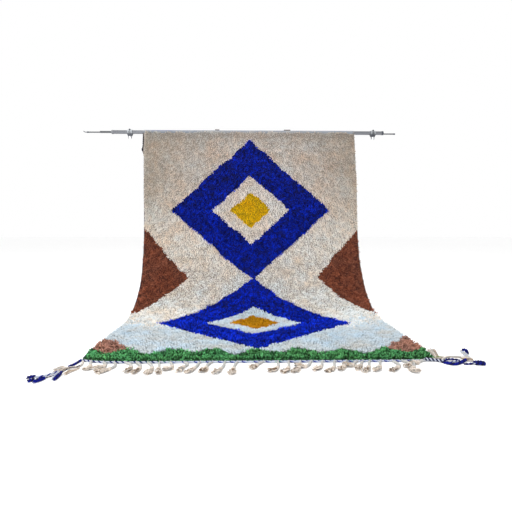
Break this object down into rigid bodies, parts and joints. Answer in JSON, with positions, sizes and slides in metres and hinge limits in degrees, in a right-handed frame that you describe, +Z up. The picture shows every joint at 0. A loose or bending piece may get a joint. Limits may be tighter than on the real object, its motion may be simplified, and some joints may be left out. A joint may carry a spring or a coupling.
{
  "type": "beni ourain rug on a display pole",
  "caption": "Thick knotted wool rug hung by its woven end from a telescopic pole, sweeping forward on to the floor, with a twined cord and tassels on its front end.",
  "frame": {"origin": "middle of the footprint, on the floor", "axes": "+X along the pole to the viewer's right, -Y towards the viewer, the way the rug sweeps out over the floor, +Z up"},
  "size_m": [2.9558, 1.9148, 1.6819],
  "materials": {
    "wool": "deep knotted wool pile",
    "cord_wool": "twined and brushed wool cord",
    "blue_cord": "twisted wool cord",
    "tube": "satin drawn tube",
    "cast": "cast, satin",
    "dark_plastic": "moulded, matte",
    "brown_plastic": "moulded, matte"
  },
  "bodies": {
    "root": {"rug_body": "wool", "fringe": "cord_wool", "left_corner_cord": "blue_cord", "right_corner_cord": "blue_cord", "main_tube": "tube", "left_middle_tube": "tube", "right_middle_tube": "tube", "left_thin_tube": "tube", "right_thin_tube": "tube", "left_end_cap": "dark_plastic", "right_end_cap": "dark_plastic", "left_tip_plug": "dark_plastic", "right_tip_plug": "dark_plastic", "left_tip_hook": "dark_plastic", "left_clamp": "cast", "left_thumb_screw": "dark_plastic", "left_clamp_bolt": "cast", "left_spigot": "tube", "right_clamp": "cast", "right_thumb_screw": "dark_plastic", "right_clamp_bolt": "cast", "right_spigot": "tube", "left_clip": "brown_plastic", "right_clip": "brown_plastic"}
  },
  "joints": []
}
